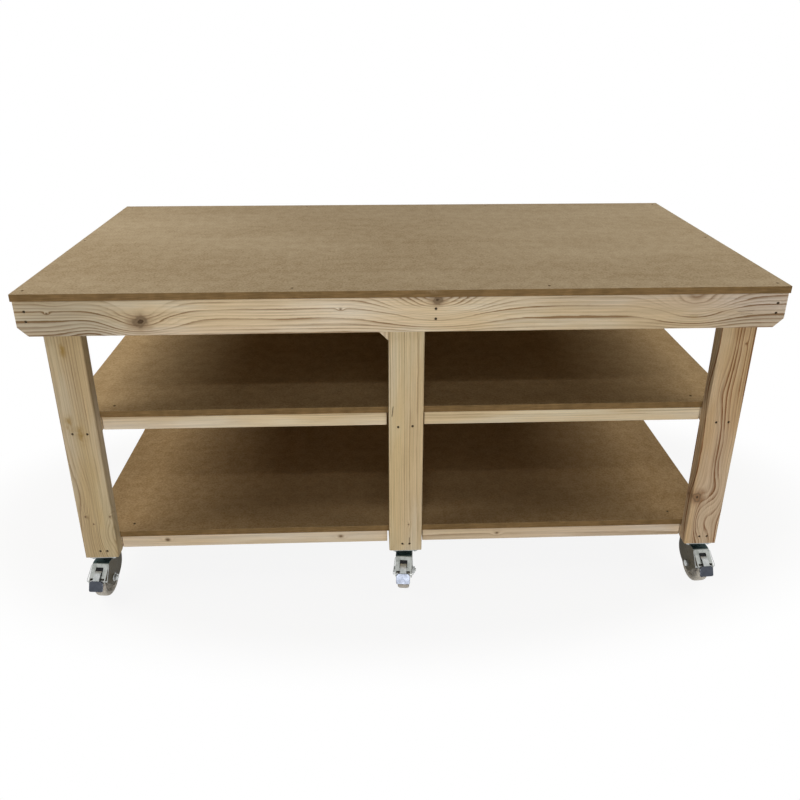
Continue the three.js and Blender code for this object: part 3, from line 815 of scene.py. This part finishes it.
def fork_outline():
    back = -CROWN_RADIUS + FORK_SHEET
    start = (back, CROWN_TOP - CHEEK_DROP)
    cheek_corner = (-CROWN_RADIUS + 2 * FORK_SHEET, WHEEL_RADIUS - AXLE_LOBE_RADIUS / 2)
    bend = (GUARD_START - GUARD_BEND, CROWN_TOP)
    lobe = arc(WHEEL_CENTRE, AXLE_LOBE_RADIUS, -50, -100, 10)
    return [
        start, (back, CROWN_TOP), bend,
        *curve(bend, (GUARD_START, CROWN_TOP), on_guard(GUARD_BEND, 0), 6),
        *arc(PEDAL_PIN, PEDAL_LOBE_RADIUS, 90 - math.degrees(GUARD_SLOPE), -130, 14),
        *lobe,
        *curve(lobe[-1], cheek_corner, start, 16)[:-1],
    ]


def fork_hollow():
    reach = 250
    under = CROWN_TOP - FORK_SHEET
    start = (FORK_SHEET - FORK_SHEET * math.cos(GUARD_SLOPE)) / math.sin(GUARD_SLOPE)
    return [(-reach, under), on_guard(start, -FORK_SHEET), on_guard(GUARD_LENGTH, -FORK_SHEET),
            on_guard(GUARD_LENGTH, 3 * PEDAL_LOBE_RADIUS), (reach, CROWN_TOP), (reach, -reach),
            (-reach, -reach)]


def fork_mesh():
    start, end, width = GUARD_WINDOW
    through = 3 * FORK_SHEET
    window = [on_guard(start, through), on_guard(end, through), on_guard(end, -through),
              on_guard(start, -through)]
    under = CROWN_TOP - FORK_SHEET
    race_top = CROWN_TOP + RACE_HEIGHT
    crown = lathe("crown", [
        (SWIVEL_BORE, under), (CROWN_RADIUS, under), (CROWN_RADIUS, CROWN_TOP),
        (RACE_RADIUS, CROWN_TOP + RACE_STEP), (RACE_RADIUS, race_top - RACE_STEP),
        (RACE_RADIUS - RACE_STEP, race_top), (SWIVEL_BORE, race_top)], 48)
    bore = rod("bore", SWIVEL_BORE - BORE_EASE, *BORE_SPAN, 32)
    return carved("fork", prism("shell", fork_outline(), FORK_WIDTH),
                  cuts=[prism("hollow", fork_hollow(), FORK_WIDTH - 2 * FORK_SHEET),
                        prism("window", window, width), bore],
                  adds=[crown], bevel=FORK_ROUNDING)


def wheel_mesh():
    other_half = [(radius, -place) for radius, place in reversed(WHEEL_SECTION)]
    wheel = lathe("wheel", [*WHEEL_SECTION, *other_half], 96, axis="X")
    return smoothed(shift(wheel, *WHEEL_CENTRE), 40)


def hexagon(name, radius, start, end):
    """A hexagonal nut or bolt head about the axle"""
    outline = arc((0, 0), radius, 30, 330, 5)
    return shift(prism(name, outline, end - start), across=(start + end) / 2)


def axle_mesh():
    half = FORK_WIDTH / 2
    rim = (WASHER_START + WASHER_END) / 2
    washer = [(AXLE_RADIUS, half + WASHER_START), (WASHER_RADIUS, half + WASHER_START),
              (WASHER_RADIUS + WASHER_BULGE, half + rim), (WASHER_RADIUS, half + WASHER_END),
              (AXLE_RADIUS, half + WASHER_END)]
    start = -half - AXLE_INSET
    end = half + NUT_END + THREAD_PAST_NUT
    cut_in, cut_along = THREAD_CHAMFER
    shank_side = [(AXIS, start), (AXLE_RADIUS, start), (AXLE_RADIUS, end - cut_along),
                  (AXLE_RADIUS - cut_in, end), (AXIS, end)]
    shank = lathe("axle", shank_side, 32, axis="X")
    parts = [hexagon("head", HEAD_RADIUS, -half - HEAD_END, -half - HEAD_START),
             hexagon("nut", NUT_RADIUS, half + NUT_START, half + NUT_END),
             lathe("washer", washer, 32, axis="X")]
    return shift(carved("axle", shank, adds=parts, bevel=AXLE_ROUNDING), *WHEEL_CENTRE)


def strap_mesh():
    line = [PEDAL_PIN, on_guard(PEDAL_PIN_ALONG + PEDAL_PIN_RADIUS, 0),
            on_guard(PEDAL_PIN_ALONG, PEDAL_STRAP_CLEAR), on_guard(GUARD_WINDOW[1], PEDAL_STRAP_CLEAR),
            on_guard((GUARD_WINDOW[0] + GUARD_WINDOW[1]) / 2, 0)]
    sides = [[], []]
    for i, point in enumerate(line):
        before, after = line[max(i - 1, 0)], line[min(i + 1, len(line) - 1)]
        along = Vector((after[0] - before[0], after[1] - before[1])).normalized()
        for side, sign in zip(sides, (-1, 1)):
            side.append((point[0] - sign * along.y * PEDAL_STRAP_SHEET / 2,
                         point[1] + sign * along.x * PEDAL_STRAP_SHEET / 2))
    strap = prism("strap", sides[0] + sides[1][::-1], PEDAL_STRAP_WIDTH)
    barrel = rod("barrel", PEDAL_BARREL_RADIUS, -PEDAL_BARREL_HALF, PEDAL_BARREL_HALF, 32, axis="X")
    pin = rod("pin", PEDAL_PIN_RADIUS, -PEDAL_PIN_HALF, PEDAL_PIN_HALF, 24, axis="X")
    parts = [shift(barrel, *PEDAL_PIN), shift(pin, *PEDAL_PIN)]
    return carved("strap", strap, adds=parts, bevel=STRAP_ROUNDING)


def spring_mesh():
    """The brake's spring leaf, close under the guard's window, coloured near-black as painted shade in the
    window
    """
    leaf = [on_guard(along, out) for along, out in SPRING_SIDE]
    return smoothed(prism("spring", leaf, SPRING_WIDTH))


def wire_mesh():
    """The pedal's two return wires, from the top of the guard down to the ends of the pedal's pin"""
    wires = bmesh.new()
    for side in (-1, 1):
        path = [(side * across, *on_guard(along, out)) for across, along, out in WIRE_PATH]
        path.append((side * WIRE_END, *PEDAL_PIN))
        wires.from_mesh(tube("wire", path, WIRE_RADIUS))
    return smoothed(gathered("wires", wires), 60)


def pad_mesh():
    half = PAD_WIDTH / 2
    inner, low = half - PAD_CORNER, -PAD_LENGTH + PAD_CORNER
    outline = [(-half + PAD_TOP_CUT, 0), (-half, -PAD_TOP_CUT), *arc((-inner, low), PAD_CORNER, 180, 270, 6),
               *arc((inner, low), PAD_CORNER, 270, 360, 6), (half, -PAD_TOP_CUT), (half - PAD_TOP_CUT, 0)]
    pad = sheet("pad", outline, -PAD_SHEET / 2, PAD_SHEET / 2)
    pad.transform(Matrix.Rotation(PAD_TILT, 4, "X"))
    forward, height = PEDAL_PIN
    shift(pad, forward + PAD_FORWARD, height + PAD_UP)
    neck = shift(prism("neck", PAD_NECK, PEDAL_STRAP_WIDTH), *PEDAL_PIN)
    return carved("pad", pad, adds=[neck], bevel=PAD_ROUNDING, steps=3)


def bolt_mesh():
    """Four hexagonal screw heads with washers under a castor's plate"""
    work = bmesh.new()
    for x in (-1, 1):
        for y in (-1, 1):
            for radius, low, high, sides in BOLT_STEPS:
                made = bmesh.ops.create_cone(work, cap_ends=True, segments=sides, radius1=radius * MM,
                                             radius2=radius * MM, depth=(high - low) * MM)
                level = PLATE_UNDERSIDE + (low + high) / 2
                centre = Vector((x * PLATE_HOLES[0], y * PLATE_HOLES[1], level)) * MM
                bmesh.ops.translate(work, verts=made["verts"], vec=centre)
    return carved("bolts", gathered("bolts", work), bevel=BOLT_ROUNDING)


def castor_pieces(zinc):
    """The meshes that all castors share, each with its material"""
    # The fork's material holds painted shade on its sides and on its top
    fork_zinc_painted_shade = plated("fork_zinc_painted_shade", FORK_ZINC, FORK_ROUGHNESS, cheek_shade=FORK_CHEEK_SHADE, crown=FORK_CROWN_SHADE)
    slate = plated("slate", SLATE, SLATE_ROUGHNESS)
    spring_shade_black = dark_metal("spring_shade_black", SPRING_SHADE_BLACK)
    made = {
        "wheel": (wheel_mesh(), nylon("nylon")),
        "fork": (fork_mesh(), fork_zinc_painted_shade),
        "axle": (axle_mesh(), zinc),
        "strap": (strap_mesh(), zinc),
        "pad": (pad_mesh(), slate),
        "bolts": (bolt_mesh(), zinc),
        "spring": (spring_mesh(), spring_shade_black),
        "wires": (wire_mesh(), zinc),
    }
    for mesh, material in made.values():
        mesh.materials.clear()
        mesh.materials.append(material)
    return {part: mesh for part, (mesh, _) in made.items()}


def place_castor(castor, meshes, pin, turn):
    for part, mesh in meshes.items():
        piece = link(f"{castor}_{part}_look", mesh)
        turned = part in CASTOR_BODIES
        piece.matrix_world = pin @ Matrix.Rotation(math.radians(turn), 4, "Z") if turned else pin
        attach(piece, f"{castor}_{CASTOR_BODIES[part]}" if turned else "table")
        if part in CASTOR_NODES:
            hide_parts(f"{castor}_{CASTOR_NODES[part]}")


def add_castors():
    zinc = plated("zinc", ZINC, ZINC_ROUGHNESS)
    meshes = castor_pieces(zinc)
    for row in ROWS:
        for column in COLUMNS:
            castor = f"castor_{row}_{column}"
            turn = CASTOR_TURNS[column] if row == "front" else 180 - CASTOR_TURNS[column]
            x = {"left": -CASTOR_X, "middle": 0, "right": CASTOR_X}[column]
            y = -CASTOR_Y if row == "front" else CASTOR_Y
            place_castor(castor, meshes, Matrix.Translation((x * MM, y * MM, 0)), turn)
            dress(nodes[f"{castor}_plate"], zinc, PLATE_ROUNDING)


# Screws, sunk into holes that hidden cutters make in the timbers and boards
def screw_mesh():
    """A countersunk head with a cross recess, its top at the origin and facing +Z"""
    length, width = SCREW_SLOT_HALF
    outline = [(-length, -width), (length, -width), (length, width), (-length, width)]
    slots = []
    for turn in (0, math.pi / 2):
        slot = sheet("slot", outline, *SCREW_SLOT_SPAN)
        slot.transform(Matrix.Rotation(turn, 4, "Z"))
        slots.append(slot)
    return carved("screw", lathe("head", SCREW_HEAD, 28), cuts=slots)


def face_point(facing, level, spot):
    if facing == "up":
        return Vector((spot[0], spot[1], level)) * MM
    return Vector((spot[0], level, spot[1])) * MM


def add_screws():
    material = dark_metal("screw_steel", SCREW_STEEL)
    head = screw_mesh()
    bore = lathe("screw_hole", SCREW_HOLE, 20)
    chance = random.Random(SCREW_SEED)
    for node, (facing, level, spots) in SCREWS.items():
        heads, holes = bmesh.new(), bmesh.new()
        for spot in spots:
            turn = Matrix.Rotation(chance.uniform(0, math.pi), 4, "Z")
            place = Matrix.Translation(face_point(facing, level, spot)) @ FACINGS[facing]
            sunk = place @ Matrix.Translation((0, 0, -SCREW_SINK * MM)) @ turn
            for mesh, work, matrix in ((head, heads, sunk), (bore, holes, place)):
                copy = mesh.copy()
                copy.transform(matrix)
                work.from_mesh(copy)
                bpy.data.meshes.remove(copy)
        screws = link(f"{node}_screws", gathered(f"{node}_screws", heads))
        cutter = link(f"{node}_holes", gathered(f"{node}_holes", holes))
        screws.data.materials.append(material)
        smoothed(screws.data)
        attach(screws, "table")
        cutter.hide_render = True
        cutter.hide_viewport = True
        combine(nodes[node], cutter, "DIFFERENCE")


# Timbers and boards keep the solids' meshes
def dress(piece, material, rounding):
    piece.data.materials.clear()
    piece.data.materials.append(material)
    weld = piece.modifiers.new("weld", "WELD")
    weld.merge_threshold = 1e-5
    round_edges(piece, rounding)


def grain_direction(node):
    low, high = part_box(node)
    size = high - low
    longest = max(range(3), key=lambda axis: size[axis])
    if longest == 2 or "brace" in node:
        return ALONG_Z
    upright = size[2] > ON_EDGE_HEIGHT
    if longest == 0:
        return ALONG_X if upright else ALONG_X_FLAT
    return ALONG_Y if upright else ALONG_Y_FLAT


def dress_timber():
    for node, piece in nodes.items():
        if node.startswith("castor") or node == "table_top" or node in SHELF_PAINTED_TONES:
            continue
        low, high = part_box(node)
        centre = (low + high) / 2
        grain = grain_direction(node)
        chance = random.Random(node)
        notes = dict(
            seed=chance.uniform(0, 40), spacing=chance.uniform(4.5, 8), contrast=chance.uniform(0.55, 0.95),
            pith=(chance.uniform(-110, 110), chance.choice((-1, 1)) * chance.uniform(35, 70)),
            wander=chance.uniform(3.5, 8))
        if node not in GRAIN_NOTES and high[grain[0]] - low[grain[0]] > KNOT_LENGTH:
            spot = [chance.uniform(low[axis], high[axis]) for axis in grain[:2]]
            notes["knots"] = [(*spot, chance.uniform(4, 10), chance.uniform(8, 18))]
        notes.update(GRAIN_NOTES.get(node, {}))
        grain = notes.pop("grain", grain)
        dress(piece, softwood("softwood_" + node, grain, centre, **notes), TIMBER_ROUNDING)


def dress_boards():
    top = fibreboard("fibreboard_top", 1.0, WHITE, TOP_GLOSS, TOP_MOTTLING, chip_x=TOP_CHIP_X)
    dress(nodes["table_top"], top, BOARD_ROUNDING)
    # The shelves' tones are painted light and shade
    for index, (node, tone) in enumerate(SHELF_PAINTED_TONES.items()):
        board = fibreboard("fibreboard_" + node, 2.0 + index, tone, SHELF_GLOSS, SHELF_MOTTLING)
        dress(nodes[node], board, BOARD_ROUNDING)


# Stage
def camera_matrix():
    up = Vector((0, 0, 1))
    ahead = Vector((math.sin(CAMERA_YAW), math.cos(CAMERA_YAW), 0))
    right = Vector((math.cos(CAMERA_YAW), -math.sin(CAMERA_YAW), 0))
    view = ahead * math.cos(CAMERA_PITCH) - up * math.sin(CAMERA_PITCH)
    top = up * math.cos(CAMERA_PITCH) + ahead * math.sin(CAMERA_PITCH)
    side = right * math.cos(CAMERA_ROLL) + top * math.sin(CAMERA_ROLL)
    top = top * math.cos(CAMERA_ROLL) - right * math.sin(CAMERA_ROLL)
    matrix = Matrix((side, top, -view)).transposed().to_4x4()
    matrix.translation = CAMERA_PLACE
    return matrix


def add_camera():
    data = bpy.data.cameras.new("camera")
    data.sensor_width = SENSOR_WIDTH
    data.lens = FOCAL_PIXELS / IMAGE_SIZE * SENSOR_WIDTH
    data.shift_y = -(IMAGE_SIZE / 2 - CENTRE_ROW) / IMAGE_SIZE
    camera = link("camera", data)
    camera.matrix_world = camera_matrix()
    bpy.context.scene.camera = camera


def add_light(name, place, target, size, power, glossy):
    data = bpy.data.lights.new(name, "AREA")
    data.shape = "RECTANGLE"
    data.size, data.size_y = size
    data.energy = power
    light = link(name, data)
    light.location = place
    light.rotation_euler = (Vector(target) - Vector(place)).to_track_quat("-Z", "Y").to_euler()
    light.visible_camera = False
    light.visible_glossy = glossy


def seen_directly(tree):
    """1 for camera, glossy and transmission rays"""
    path = tree.nodes.new("ShaderNodeLightPath")
    whole = path.outputs["Is Camera Ray"]
    for name in ("Is Glossy Ray", "Is Transmission Ray"):
        node = tree.nodes.new("ShaderNodeMath")
        node.operation = "MAXIMUM"
        tree.links.new(whole, node.inputs[0])
        tree.links.new(path.outputs[name], node.inputs[1])
        whole = node.outputs[0]
    return whole


def add_world():
    """White where it is seen directly and a weak warm light for everything else"""
    world = bpy.data.worlds.new("world")
    bpy.context.scene.world = world
    world.use_nodes = True
    tree = world.node_tree
    background = tree.nodes["Background"]
    mix = tree.nodes.new("ShaderNodeMix")
    mix.data_type = "RGBA"
    tree.links.new(seen_directly(tree), mix.inputs[0])
    mix.inputs[6].default_value = AMBIENT
    mix.inputs[7].default_value = WHITE
    tree.links.new(mix.outputs[2], background.inputs["Color"])


def add_floor():
    """A pale floor that shows the table's shadow and turns white away from it"""
    corners = ((-1, -1), (1, -1), (1, 1), (-1, 1))
    mesh = mesh_from("floor", [(x * FLOOR_REACH, y * FLOOR_REACH, 0) for x, y in corners], [(0, 1, 2, 3)])
    floor = link("floor", mesh)
    g = Graph("floor")
    g.put(g.shader.inputs["Base Color"], FLOOR_COLOR)
    g.put(g.shader.inputs["Roughness"], 0.9)
    g.put(g.shader.inputs["Specular IOR Level"], 0.0)
    place = g.add("TexCoord").outputs["Object"]
    away = g.add("VectorMath", operation="LENGTH")
    g.put(away.inputs[0], g.vector("MULTIPLY", place, SHADOW_SHAPE))
    share = g.remap(away.outputs["Value"], *SHADOW_REACH, FLOOR_WHITE, 1.0)
    share = g.math("MULTIPLY", share, seen_directly(g.tree))
    mix = g.add("MixShader", {0: share, 1: g.shader.outputs[0], 2: g.add("Emission").outputs[0]})
    g.put(g.tree.nodes["Material Output"].inputs["Surface"], mix.outputs[0])
    mesh.materials.append(g.material)


bpy.context.scene.view_settings.view_transform = "Standard"
add_camera()
dress_boards()
dress_timber()
add_castors()
add_screws()
add_world()
add_floor()
for light in LIGHTS:
    add_light(*light)

bpy.context.view_layer.update()
